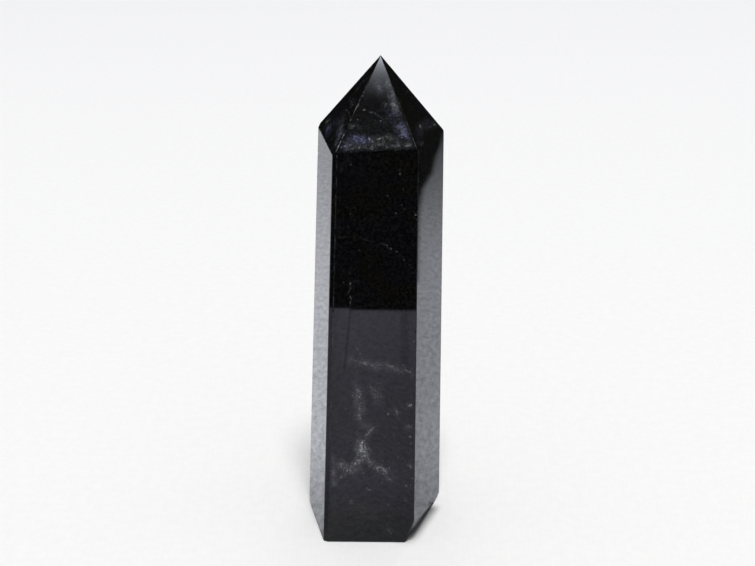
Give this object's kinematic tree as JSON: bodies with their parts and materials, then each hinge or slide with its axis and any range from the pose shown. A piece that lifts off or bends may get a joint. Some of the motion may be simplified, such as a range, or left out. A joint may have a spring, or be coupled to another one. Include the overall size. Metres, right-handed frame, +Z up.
{
  "type": "morion quartz crystal",
  "caption": "Polished black smoky quartz tower: a tapered six-sided prism with a six-sided pointed top, cut flat at the base so that it stands.",
  "frame": {"origin": "centre of the flat base, on the surface that the crystal stands on", "axes": "+Z up along the crystal towards its apex, the broad front face looks along -Y, +X to the right of that face"},
  "size_m": [0.027, 0.0274, 0.095],
  "materials": {
    "morion": "polished, black to the eye, smoky brown where thin"
  },
  "bodies": {
    "root": {"crystal": "morion"}
  },
  "joints": []
}
